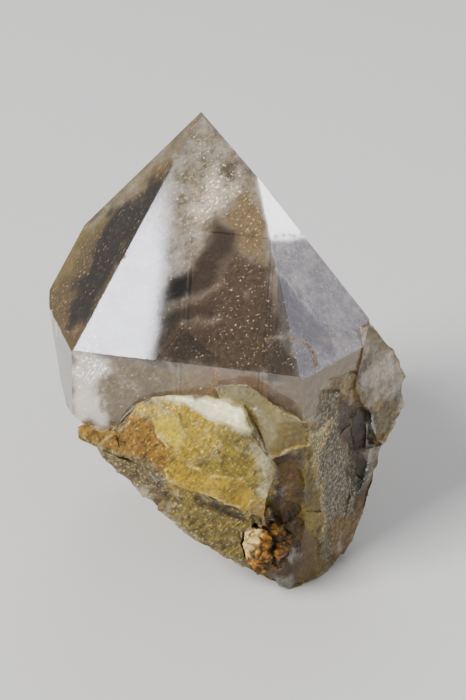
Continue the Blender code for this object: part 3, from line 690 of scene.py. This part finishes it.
# The same for the outlines and lines on crystal faces.
faceRows = (
    ("stripWhole", (178, 158, 126), 1.0, 0.68, 0.03, 0.5, 0.12, 0.0, 0.3),
    ("stripRight", (158, 132, 106), 0.9, 0.68, 0.03, 0.4, 0.08, 0.0, 0.25),
    ("rightWhole", (156, 149, 158), 1.0, 0.58, 0.04, 0.6, 0.36, 0.0, 0.42),
    ("leftWhole", (144, 118, 70), 1.0, 0.72, 0.03, 0.5, 0.08, 0.0, 0.42),
    # a painted reflection of a soft light, pale bluish white over the front face's left part
    ("frontLeft", (240, 236, 240), 0.9, 0.6, 0.02, 0.3, 0.3, 0.0, 0.35),
    ("frontOlive", (144, 120, 72), 0.9, 0.62, 0.04, 0.6, 0.05, 0.0, 0.45),
    ("frontBrown", (88, 68, 40), 0.92, 0.74, 0.03, 0.6, 0.0, 0.0, 0.48),
    ("frontMilk", (164, 146, 118), 0.9, 0.57, 0.04, 0.8, 0.3, 0.0, 0.42),
    ("frontGlitter", (232, 216, 188), 0.65, 0.45, 0.08, 0.7, 0.3, 0.0, 0.66),
    ("darkTop", (110, 94, 74), 0.7, 0.80, None, 0.3, 0.0, 0.0, 0.4),
    ("darkMiddle", (64, 55, 46), 0.92, 0.93, None, 0.2, 0.0, 0.0, 0.15),
    ("darkLower", (88, 76, 64), 0.7, 0.9, None, 0.3, 0.05, 0.0, 0.2),
    ("darkStreaks", (100, 84, 70), 0.6, 0.85, None, 0.4, 0.05, 0.0, 0.35),
    ("leftDark", (46, 31, 12), 0.94, 0.84, 0.03, 0.5, 0.0, 0.0, 0.45),
    ("leftOlive", (172, 148, 76), 0.8, 0.6, 0.08, 0.3, 0.1, 0.0, 0.1),
    ("leftPale", (190, 172, 136), 0.8, 0.66, 0.04, 0.3, 0.2, 0.0, 0.2),
    ("leftEdge", (178, 166, 148), 0.85, 0.7, 0.1, 0.4, 0.3, 0.0, 0.1),
    # a painted highlight, white along the left prism face
    ("leftEdgeWhite", (246, 240, 228), 0.9, 0.3, 0.2, 0.3, 0.7, 0.0, 0.3),
    # a painted reflection of a soft light, near white at the top of the right face
    ("rightTop", (250, 250, 255), 0.9, 0.3, 0.06, 0.1, 0.8, 0.0, 0.0),
    ("rightShade", (78, 74, 90), 0.8, 0.75, None, 0.6, 0.05, 0.0, 0.42),
    # a painted shadow inside the chip
    ("chipInside", (112, 104, 112), 0.8, 0.7, 0.05, 0.5, 0.05, 0.0, 0.4),
    ("stripMilk", (250, 242, 230), 0.9, 0.3, 0.08, 0.3, 0.6, 0.0, 0.3),
    ("stripSparkle", (255, 250, 242), 0.8, 0.35, 0.10, 0.7, 0.5, 0.0, 0.7),
    ("stripBrown", (196, 170, 148), 0.8, 0.75, 0.04, 0.15, 0.12, 0.0, 0.0),
    ("prismBrown", (158, 138, 112), 0.9, 0.65, 0.06, 0.25, 0.1, 0.0, 0.1),
    ("chipRim", (150, 116, 56), 0.55, 0.5, 0.15, 0.9, 0.1, 0.2, 0.4),
    ("chipRimRight", (160, 118, 44), 0.7, 0.45, 0.15, 0.9, 0.1, 0.25, 0.4),
    ("crack", (120, 100, 78), 0.8, 0.4, 0.2, 0.2, 0.1, 0.3, 0.0),
    ("growthStep", (226, 222, 232), 0.5, 0.5, 0.15, 0.2, 0.5, 0.0, 0.0),
    ("wispHigh", (180, 162, 136), 0.42, 0.68, None, 0.6, 0.25, 0.0, 0.3),
    ("wispMiddle", (180, 162, 136), 0.34, 0.68, None, 0.6, 0.25, 0.0, 0.3),
    ("wispLow", (180, 162, 136), 0.42, 0.68, None, 0.6, 0.25, 0.0, 0.3),
    ("stripStep", (150, 110, 64), 0.8, 0.3, 0.3, 0.3, 0.0, 0.5, 0.0),
    ("stripNotch", (140, 112, 84), 0.8, 0.4, 0.25, 0.3, 0.0, 0.3, 0.0),
    ("edgeNick", (110, 80, 50), 0.9, 0.3, 0.3, 0.5, 0.0, 0.5, 0.0),
    # a painted highlight along the front face's lower edge
    ("edgeLight", (236, 232, 226), 0.5, 0.4, 0.1, 0.2, 0.6, 0.0, 0.0),
)

# Ledges whose edges catch the light, and one more row for those edges, from its tone on.
brightEdges = ("shellUpper", "shellMiddle", "orangeLobe", "ledge", "lowLobes", "rim", "greyBlock")
edgeRow = ((238, 208, 118), 0.6, 0.3, 0.12, 0.4, 0.1, 0.0, 0.4)

painting = {
    "soften": 3.6, "ragged": 5.0,                # pixels: how soft and how ragged the regions are painted
    "faceSoften": 6.5, "faceRagged": 6.0,        # the same on crystal faces
    "lineNudge": (0.5, 0.5, 80),                 # how lines wander: mm, cells per mm and seed
    "lineSwell": 0.45, "lineFade": (0.4, 1.5),   # in widths of the line: its swelling, and where it fades
    "edgeWidth": (0.3, 1.6),                     # pixels from a bright edge over which it fades out
    # the ranges of a cloud pattern, or of mm looking away from the eye, over which each kind of patch sets in
    "glintFrom": (-0.5, 0.4), "goldenFrom": (-0.15, 0.5), "rustyFrom": (0.2, 0.65), "behindFrom": (0.0, 60.0),
    "rustyShift": 9.0,                           # cells
    "clearTone": (232, 222, 208),
    "clearFinish": (0.92, 0.02, 0.06),           # clearness, roughness and mottling of the plain quartz
    "clearSpots": (0.12, 0.0, 0.0),              # its veil, rust and crumbs painted as glints
    "behind": ((232, 222, 208), 0.86, 0.14, 0.2, 0.15, 0.0, 0.1),        # rows of the same kind as above
    "plainBreak": ((190, 172, 128), 0.5, 0.26, 0.9, 0.2, 0.0, 0.3),
    "goldenStain": ((186, 132, 30), 0.3, 0.32, 1.0, 0.1, 0.05, 0.3),
    "rustyStain": ((124, 78, 16), 0.2, 0.45, 1.0, 0.0, 0.3, 0.2),
    "goldenShare": 0.85, "rustyShare": 0.8,
    "strongTint": (0.56, 0.62, 0.55),            # strong colours of the breaks are deepened, pale ones stay
    "deepening": 1.25,                           # how soon a colour counts as strong
    "reliefShading": 0.38,                           # painted shade and light: how much darker the deepest hollows are, and lighter the highest knobs
    "deepest": 0.32,                             # mm: a hollow this deep is the darkest
    "smokeBands": 0.08,                          # how much the faint bands darken and lighten the tone
}


# Tone (red, green, blue), finish (clearness, roughness, mottling) and spots (veil, rust, crumbs painted as
# glints) at each vertex. Rows are laid over each other, each by its share.
def dressQuartz(places, facing, held, height):
    count = len(places)
    tone = np.tile(shade(*painting["clearTone"]), (count, 1))
    finish = np.tile(np.array(painting["clearFinish"]), (count, 1))
    spots = np.tile(np.array(painting["clearSpots"]), (count, 1))
    broken = (~held).astype(float)

    # Moves every value towards the row's by the share. Strong colours are deepened by how far their weakest
    # part falls short of their strongest.
    def lay(share, row, deepened=0.0):
        colour, clear, rough, mottled, veil, rust, crumbsAndGlints = row
        share = np.clip(share, 0, 1)
        strength = deepened * min(1.0, painting["deepening"] * (1 - min(colour) / max(colour)))
        wanted = shade(*colour) * (1 + (np.array(painting["strongTint"]) - 1) * strength)
        tone[:] = tone + (wanted - tone) * share[:, None]
        for table, column, value in ((finish, 0, clear), (finish, 1, rough), (finish, 2, mottled),
                                     (spots, 0, veil), (spots, 1, rust), (spots, 2, crumbsAndGlints)):
            if value is not None:
                table[:, column] += (value - table[:, column]) * share

    # crystal faces at the back are dull, so what lies behind shows softly through them
    lookingAway = -np.sum((eyePlace - places) * facing, axis=1)
    lay(held * smooth(lookingAway, *painting["behindFrom"]), painting["behind"])
    # breaks all round: a little frosted, stained yellow and brown in patches
    lay(broken, painting["plainBreak"], 1.0)
    golden = smooth(pattern("goldenStain", places), *painting["goldenFrom"]) * broken
    lay(golden * painting["goldenShare"], painting["goldenStain"], 1.0)
    rusty = smooth(pattern("rustyStain", places, painting["rustyShift"]), *painting["rustyFrom"]) * broken
    lay(rusty * painting["rustyShare"], painting["rustyStain"], 1.0)
    share = regionShares(places, facing, painting["soften"], painting["ragged"])
    share.update(faceShares(places, facing))
    for name, colour, amount, *values in breakRows + faceRows:
        lay(share[name] * amount, (colour, *values), float(name in regions))
    colour, amount, *values = edgeRow
    lay(edgeShares(places, facing) * broken * amount, (colour, *values))

    # painted shade darkens the hollows and painted light brightens the knobs, and faint smoke bands go all
    # through
    tone *= (1 + painting["reliefShading"] * np.clip(height / painting["deepest"], -1, 1) * broken)[:, None]
    bands = pattern("narrowSmoke", places) + pattern("wideSmoke", places)
    tone *= (1 + painting["smokeBands"] * bands)[:, None]
    return np.clip(tone, 0.002, 1), np.clip(finish, 0, 1), np.clip(spots, 0, 1)


# A mesh object at the origin from places in the crystal's frame in mm, and faces.
def meshObject(name, places, faces):
    data = bpy.data.meshes.new(name)
    data.from_pydata(((places + toFrame) * mm).tolist(), [], faces.tolist())
    data.update()
    data.polygons.foreach_set("use_smooth", np.ones(len(faces), bool))
    data.set_sharp_from_angle(angle=math.radians(mesh["sharpFrom"]))
    made = bpy.data.objects.new(name, data)
    bpy.context.scene.collection.objects.link(made)
    return made


# Stores a colour per vertex under a name.
def storeColour(made, name, values):
    kept = made.data.color_attributes.new(name, "FLOAT_COLOR", "POINT")
    full = np.ones((len(values), 4), np.float32)
    full[:, :values.shape[1]] = values
    kept.data.foreach_set("color", full.reshape(-1))


# Materials.

# A new material, its node tree and its surface shader.
def newMaterial(name):
    made = bpy.data.materials.new(name)
    made.use_nodes = True
    tree = made.node_tree
    return made, tree, tree.nodes["Principled BSDF"]


# Puts a number, a colour or another node's output into a socket.
def feed(tree, socket, value):
    if isinstance(value, bpy.types.NodeSocket):
        tree.links.new(value, socket)
    else:
        socket.default_value = value


# A new node. Feeds go into its sockets by name or number, and the other values are its settings or sockets.
def node(tree, kind, feeds=None, **values):
    made = tree.nodes.new(kind)
    for key, value in values.items():
        if key in made.inputs.keys():
            feed(tree, made.inputs[key], value)
        else:
            setattr(made, key, value)
    for key, value in (feeds or {}).items():
        feed(tree, made.inputs[key], value)
    return made


# A number from a socket, moved from one range to another and kept inside it.
def ranged(tree, socket, low, high, toLow=0.0, toHigh=1.0, kind="LINEAR"):
    ends = {"From Min": low, "From Max": high, "To Min": toLow, "To Max": toHigh}
    return node(tree, "ShaderNodeMapRange", ends, Value=socket, interpolation_type=kind).outputs["Result"]


# Two sockets or numbers joined by a sum, a difference or a product.
def reckon(tree, how, first, second):
    return node(tree, "ShaderNodeMath", {0: first, 1: second}, operation=how).outputs["Value"]


# A colour made brighter or darker by a number.
def lit(tree, colour, times):
    return node(tree, "ShaderNodeVectorMath", {0: colour}, operation="SCALE", Scale=times).outputs["Vector"]


# One colour laid over another by a share.
def laidOver(tree, under, over, share):
    return node(tree, "ShaderNodeMix", {0: share, 6: under, 7: over}, data_type="RGBA").outputs[2]


# Spots of one kind: 1 where the amount, raised and lowered by the noise, passes a threshold.
def spotted(tree, amount, noiseSocket, kind):
    swing, low, high = quartzLook[kind]
    wavy = reckon(tree, "MULTIPLY", reckon(tree, "SUBTRACT", noiseSocket, 0.5), swing)
    return ranged(tree, reckon(tree, "ADD", amount, wavy), low, high)


# Noise in the object's own space, drawn out along a way turned about Y.
def noiseAt(tree, perMetre, detail, rough, stretch=1.0, turn=0.0, shift=(0, 0, 0)):
    place = node(tree, "ShaderNodeTexCoord").outputs["Object"]
    mapping = node(tree, "ShaderNodeMapping", vector_type="TEXTURE", Vector=place, Scale=(stretch, 1, 1),
                   Rotation=(0, math.radians(turn), 0), Location=shift).outputs["Vector"]
    return node(tree, "ShaderNodeTexNoise", Vector=mapping, Scale=perMetre, Detail=detail,
                Roughness=rough).outputs["Fac"]


# The parts of a colour attribute as three sockets.
def attributeParts(tree, name):
    colour = node(tree, "ShaderNodeVertexColor", layer_name=name).outputs["Color"]
    return node(tree, "ShaderNodeSeparateColor", Color=colour).outputs[:3]


quartzLook = {
    "ior": 1.544,
    "smoke": (0.50, 0.38, 0.25, 1),      # what smoky quartz lets through, and how much it takes per metre
    "smokeDensity": 52.0,
    "grain": (1250.0, 5.0, 0.7, 2.2, -50),      # cells per metre, detail, roughness, stretch and its turn
    "fine": (2600.0, 3.0, 0.6, 1.7, -50),
    "wide": (330.0, 7.0, 0.68, 1.0, 0.0, (0.4, 0.1, 0.2)),      # and a shift
    "grainShare": 0.6,                   # of the mottling, the rest is the fine grain
    "mottle": (0.38, 0.62, 0.30, 1.75),  # the noise's range, and the darkest and brightest mottling
    "bumpHeight": 0.00028,
    "bumpFrom": (0.08, 0.24),            # roughness and mottling over which the bump sets in
    "bumpMottled": (0.1, 0.9),
    "lustre": 0.45,
    "lustreFrom": (0.5, 0.62),           # clearness over which the lustre sets in
    "lustreRoughness": 0.02,
    "veilTone": (0.86, 0.83, 0.77, 1),
    "rustTone": (0.30, 0.115, 0.018, 1),
    "glintTone": (0.93, 0.90, 0.80, 1),  # crumbs painted as glints: the tone made brighter, part of the way to white
    "glintLift": 2.7,
    "glintTint": 0.22,
    "veil": (1.5, 0.15, 0.95),           # spots: how far noise swings them, and where they fade in
    "rust": (2.4, 0.35, 0.75),
    "crumbsAndGlints": (3.4, 0.85, 1.1),
    "spotDulling": (0.45, 0.85, 0.8),    # how much less clear veil, rust and the crumbs painted as glints are
    "rustRoughness": 0.25,
}


# Clear smoky quartz, with tone, mottling, veils, rust and crumbs painted as glints from the vertex colours.
def quartzMaterial():
    look = quartzLook
    made, tree, shader = newMaterial("smokyQuartz")
    tone = node(tree, "ShaderNodeVertexColor", layer_name="tone").outputs["Color"]
    clear, rough, mottled = attributeParts(tree, "finish")
    veiled, rusted, glintAmount = attributeParts(tree, "spots")
    grain, fine, wide = (noiseAt(tree, *look[name]) for name in ("grain", "fine", "wide"))
    veil = spotted(tree, veiled, wide, "veil")
    rust = spotted(tree, rusted, grain, "rust")
    # crumbs are painted glints: bright specks where the fine noise passes the amount
    crumbsAndGlints = spotted(tree, glintAmount, fine, "crumbsAndGlints")

    # mottling: the tone is lighter and darker by the grain, more so where the finish says
    mixedGrain = reckon(tree, "ADD", reckon(tree, "MULTIPLY", grain, look["grainShare"]),
                        reckon(tree, "MULTIPLY", fine, 1 - look["grainShare"]))
    mottle = ranged(tree, mixedGrain, *look["mottle"])
    times = node(tree, "ShaderNodeMix", {0: mottled, 2: 1.0, 3: mottle}, data_type="FLOAT").outputs[0]
    colour = laidOver(tree, lit(tree, tone, times), look["veilTone"], veil)
    colour = laidOver(tree, colour, look["rustTone"], rust)
    glintColour = laidOver(tree, lit(tree, tone, look["glintLift"]), look["glintTone"], look["glintTint"])
    feed(tree, shader.inputs["Base Color"], laidOver(tree, colour, glintColour, crumbsAndGlints))

    # spots are less clear and rougher than the quartz round them
    for kind, less in zip((veil, rust, crumbsAndGlints), look["spotDulling"]):
        clear = reckon(tree, "MULTIPLY", clear, ranged(tree, kind, 0.0, 1.0, 1.0, 1.0 - less))
    feed(tree, shader.inputs["Transmission Weight"], clear)
    rustRough = reckon(tree, "MULTIPLY", rust, look["rustRoughness"])
    feed(tree, shader.inputs["Roughness"], reckon(tree, "ADD", rough, rustRough))
    strength = reckon(tree, "MULTIPLY", ranged(tree, rough, *look["bumpFrom"]),
                      ranged(tree, mottled, *look["bumpMottled"]))
    bump = node(tree, "ShaderNodeBump", Distance=look["bumpHeight"], Height=reckon(tree, "ADD", grain, fine),
                Strength=strength)
    feed(tree, shader.inputs["Normal"], bump.outputs["Normal"])
    # crystal faces keep a sharp lustre even where they are dull inside
    feed(tree, shader.inputs["Coat Weight"], ranged(tree, clear, *look["lustreFrom"], 0.0, look["lustre"]))
    shader.inputs["Coat Roughness"].default_value = look["lustreRoughness"]
    shader.inputs["Coat IOR"].default_value = look["ior"]
    shader.inputs["IOR"].default_value = look["ior"]
    smoke = node(tree, "ShaderNodeVolumeAbsorption", Color=look["smoke"], Density=look["smokeDensity"])
    feed(tree, tree.nodes["Material Output"].inputs["Volume"], smoke.outputs["Volume"])
    return made


places, faces, facing, held, height = shapeQuartz()
quartz = meshObject("quartz", places, faces)
for name, values in zip(("tone", "finish", "spots"), dressQuartz(places, facing, held, height)):
    storeColour(quartz, name, values)
quartz.data.materials.append(quartzMaterial())
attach(quartz, "root")
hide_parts("quartz_crystal")
print("quartz dressed")


# The rusty lump: the solid's copy cut finer, with angular knobs and pits.

lump = {
    "edge": 0.26,                        # mm: its longest edge
    "knob": 1.7, "knobHeight": 0.42,     # mm
    "knobJoint": 0.4, "knobUneven": 0.14,
    "knobBend": 0.3,
    "drawn": ((0.62, 0, 0.3), (0, 1, 0), (-0.35, 0, 1.0)),      # knobs are drawn out sideways
    "pit": 0.7, "pitDepth": 0.2, "pitUneven": 0.06, "pitReach": 0.7,
    "crevice": [(254, 525), (268, 528), (277, 538), (272, 552), (277, 568), (271, 580)],        # pixels
    "creviceFade": (0.8, 3.2), "creviceDepth": 0.9,             # pixels from its line, and mm
    "creviceNudge": (0.35, 0.8, 90),     # how it wanders: mm, cells per mm and seed
    "dark": (76, 48, 10), "rusty": (166, 112, 20), "cream": (240, 210, 140),
    "creamMiddle": (261, 544),           # pixels: left of and above this the lump is creamy
    "creamAcross": 0.07, "creamUp": 0.04, "creamCloud": 0.6,    # per pixel, and how much clouds move its edge
    "creamFrom": (0.0, 0.7), "rustFrom": (-0.5, 0.6),
    "jointWidth": 0.2,
    "creamShare": 0.85, "jointShade": 0.7, "creviceShade": 0.85,
    "darkFrom": (272, 290), "darkShare": 0.55,                  # pixels across: the right part is dark brown
    "grain": (1400.0, 6.0, 0.7), "mottle": (0.3, 0.7, 0.6, 1.35),
    "bumpHeight": 0.0002, "bumpStrength": 0.8, "roughness": 0.62,
}


# Dull rust: the vertex tone, lighter and darker by fine noise, with a fine bump.
def lumpMaterial():
    made, tree, shader = newMaterial("rustyIron")
    grain = noiseAt(tree, *lump["grain"])
    tone = node(tree, "ShaderNodeVertexColor", layer_name="tone").outputs["Color"]
    feed(tree, shader.inputs["Base Color"], lit(tree, tone, ranged(tree, grain, *lump["mottle"])))
    bump = node(tree, "ShaderNodeBump", Distance=lump["bumpHeight"], Strength=lump["bumpStrength"],
                Height=grain)
    feed(tree, shader.inputs["Normal"], bump.outputs["Normal"])
    shader.inputs["Roughness"].default_value = lump["roughness"]
    return made


# How deep in the crevice each place is: 1 on its line, fading out over its width.
def creviceShare(places):
    across, down = seenAt(nudged(places, *lump["creviceNudge"]))
    return 1 - smooth(besideLine(across, down, lump["crevice"]), *lump["creviceFade"])


# Knobs are flat-topped grains with sunk joints, drawn out sideways; pits are a second, finer set, and one
# crevice parts the lump. Gives also how far each place is from a joint.
def shapeLump():
    bm = finerCopy(lumpNode, lambda places, facing: np.full(len(places), lump["edge"]))
    places, faces, normals, area = arraysOf(bm)
    bm.free()
    facing = vertexNormals(len(places), faces, normals, area)
    drawn = places @ np.array(lump["drawn"])
    bend = lump["knobBend"] * pattern("lumpBend", places)[:, None]
    near, second, mark = grains(drawn / lump["knob"] + bend, seeds["lumpKnobs"])
    joint = second - near
    height = lump["knobHeight"] * (smooth(joint, 0.0, lump["knobJoint"]) - 1) + lump["knobUneven"] * mark
    near, _, mark = grains(places / lump["pit"], seeds["lumpPits"])
    height -= lump["pitDepth"] * (lump["pitReach"] - np.minimum(near, lump["pitReach"]))
    height -= lump["pitUneven"] * mark
    height -= lump["creviceDepth"] * creviceShare(places)
    return places + facing * height[:, None], faces, joint


# The lump's tone: rusty and dark brown in patches, creamy at the upper left, dark in the joints, in the
# crevice and at the right.
def lumpTone(places, joint):
    across, down = seenAt(places)
    dark, rusty, cream = (shade(*lump[name]) for name in ("dark", "rusty", "cream"))
    tone = dark + (rusty - dark) * smooth(pattern("lumpRust", places), *lump["rustFrom"])[:, None]
    creamy = lump["creamCloud"] * pattern("lumpCream", places)
    creamy += lump["creamAcross"] * (lump["creamMiddle"][0] - across)
    creamy += lump["creamUp"] * (lump["creamMiddle"][1] - down)
    creamy = smooth(creamy, *lump["creamFrom"])
    tone += (cream - tone) * (lump["creamShare"] * creamy)[:, None]
    tone *= (1 - lump["jointShade"] * (1 - smooth(joint, 0.0, lump["jointWidth"])))[:, None]
    tone *= (1 - lump["creviceShade"] * creviceShare(places))[:, None]
    return tone * (1 - lump["darkShare"] * smooth(across, *lump["darkFrom"]))[:, None]


places, faces, joint = shapeLump()
iron = meshObject("ironLump", places, faces)
storeColour(iron, "tone", lumpTone(places, joint))
iron.data.materials.append(lumpMaterial())
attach(iron, "root")
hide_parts("iron_oxide_lump")
print("lump done:", len(faces), "triangles")


# Floor, lights and camera.

studio = {
    "floorTone": (0.8, 0.8, 0.8, 1),
    "floorRoughness": 0.85,
    "floorSize": 6.0,                    # m
    "skyTone": (0.98, 0.99, 1.0, 1),
    "sky": 0.36,                         # strength at the horizon
    "skyTop": 0.40,                      # and overhead
    "middle": (0, 0, 30),                # mm: the place the lights face
    # soft lights: place, width and height in mm, power in W, tint
    "lights": {
        "key": ((-1260, -900, 1410), 900, 900, 60.0, (1.0, 0.97, 0.93)),
        "fill": ((1440, -1080, 780), 1260, 960, 7.2, (0.93, 0.95, 1.0)),
        "back": ((180, 1260, 1260), 900, 600, 5.4, (1, 1, 1)),
    },
    # lights seen only as reflections: crystal face, the pixels that mirror the light's left, right, top and
    # bottom, radiance, distance in mm, tint, and the shares of its width and height over which it fades out
    "cards": {
        "frontCard": ("front", (-60, 280), (170, 280), (122, 150), (86, 420),
            26.0, 420.0, (0.86, 0.89, 1.0), 0.09, 0.3),
        "rightCard": ("right", (230, 280), (400, 280), (290, 150), (330, 400),
            2.0, 420.0, (0.90, 0.88, 1.0), 0, 0),
        "rightTopCard": ("right", (230, 200), (320, 200), (270, 150), (276, 228),
            34.0, 378.0, (0.95, 0.94, 1.0), 0, 0),
        "stripCard": ("frontPrism", (40, 390), (200, 390), (130, 350), (130, 430),
            3.0, 420.0, (0.98, 0.96, 1.0), 0, 0),
    },
}


# A plain pale floor, square round the origin.
def paleFloor():
    half = studio["floorSize"] / 2
    data = bpy.data.meshes.new("floor")
    ends = [(-half, -half, 0), (half, -half, 0), (half, half, 0), (-half, half, 0)]
    data.from_pydata(ends, [], [(0, 1, 2, 3)])
    made = bpy.data.objects.new("floor", data)
    bpy.context.scene.collection.objects.link(made)
    material, _, shader = newMaterial("paleFloor")
    shader.inputs["Base Color"].default_value = studio["floorTone"]
    shader.inputs["Roughness"].default_value = studio["floorRoughness"]
    data.materials.append(material)
    return made


# A rectangular soft light at a place (mm, crystal's frame), facing a target, its upright side along "up".
def softLight(name, place, target, width, height, power, tint, up=(0, 0, 1)):
    data = bpy.data.lights.new(name, "AREA")
    data.shape = "RECTANGLE"
    data.size, data.size_y = width * mm, height * mm
    data.energy = power
    data.color = tint
    back = Vector(np.array(place) - np.array(target)).normalized()
    side = Vector(up).cross(back).normalized()
    turn = Matrix((side, back.cross(side), back)).transposed().to_4x4()
    made = bpy.data.objects.new(name, data)
    made.matrix_world = Matrix.Translation(Vector((np.array(place) + toFrame) * mm)) @ turn
    made.visible_camera = False
    bpy.context.scene.collection.objects.link(made)
    return made


# Makes a light fade out over its own surface by smooth steps. Each way is from the place where it is dark to
# the place where it is full, as shares of the light's width and height.
def fadeEdges(made, across, up):
    made.data.use_nodes = True
    tree = made.data.node_tree
    surface = node(tree, "ShaderNodeNewGeometry").outputs["Parametric"]
    split = node(tree, "ShaderNodeSeparateXYZ", Vector=surface)
    strength = 1.0
    for side, (dark, full) in (("X", across), ("Y", up)):
        fade = ranged(tree, split.outputs[side], dark, full, kind="SMOOTHSTEP")
        strength = reckon(tree, "MULTIPLY", fade, strength)
    feed(tree, tree.nodes["Emission"].inputs["Strength"], strength)


# The place that a pixel's line of sight reaches after the mirror of a named face, a distance further on.
def mirrored(x, y, name, distance):
    normal = namedFaces[name][0]
    line = sightLine(x, y)
    return onFace(x, y, name) + (line - 2 * (line @ normal) * normal) * distance


# A light seen only as a reflection in a crystal face. Its sides are mirrored at the pixels left, right, top
# and bottom. It fades out over a share of its width at the right and of its height at the top.
def reflectionCard(name, face, left, right, top, bottom, radiance, distance, tint, fadeRight, fadeTop):
    atLeft, atRight, atTop, atBottom = (
        mirrored(*pixel, face, distance) for pixel in (left, right, top, bottom))
    height = np.linalg.norm(atTop - atBottom)
    upright = (atTop - atBottom) / height
    centre = (atLeft + atRight) / 2
    spot = onFace((left[0] + right[0]) / 2, (top[1] + bottom[1]) / 2, face)
    width = np.linalg.norm(np.cross(atRight - atLeft, upright))
    power = radiance * math.pi * width * height * mm * mm
    made = softLight(name, centre, spot, width, height, power, tint, tuple(upright))
    made.visible_diffuse = False
    made.visible_transmission = False
    if fadeRight or fadeTop:
        side = np.array(made.matrix_world.col[0][:3])
        rightIsFar = side @ (atRight - atLeft) > 0
        fadeEdges(made, (1.0, 1.0 - fadeRight) if rightIsFar else (0.0, fadeRight), (1.0, 1.0 - fadeTop))


# A plain sky, a little brighter overhead.
def paleSky():
    world = bpy.data.worlds.new("studioAir")
    world.use_nodes = True
    tree = world.node_tree
    background = tree.nodes["Background"]
    background.inputs["Color"].default_value = studio["skyTone"]
    ahead = node(tree, "ShaderNodeTexCoord").outputs["Generated"]
    rise = node(tree, "ShaderNodeSeparateXYZ", Vector=ahead).outputs["Z"]
    feed(tree, background.inputs["Strength"], ranged(tree, rise, 0.0, 1.0, studio["sky"], studio["skyTop"]))
    return world


# The camera at the eye, looking forward.
def frontCamera():
    data = bpy.data.cameras.new("camera")
    data.lens = eye["sensor"] * eye["lensPixels"] / eye["height"]
    data.sensor_width = eye["sensor"]
    data.clip_start, data.clip_end = 0.01, 20.0
    made = bpy.data.objects.new("camera", data)
    bpy.context.scene.collection.objects.link(made)
    turn = Matrix((rightward, upward, -forward)).transposed().to_4x4()
    made.matrix_world = Matrix.Translation(Vector((eyePlace + toFrame) * mm)) @ turn
    return made


paleFloor()
for name, (place, width, height, power, tint) in studio["lights"].items():
    light = softLight(name, place, studio["middle"], width, height, power, tint)
    light.visible_glossy = name != "key"        # the key would show as a second reflection
for name, values in studio["cards"].items():
    reflectionCard(name, *values)
bpy.context.scene.world = paleSky()
bpy.context.scene.camera = frontCamera()
print("floor, lights and camera done")
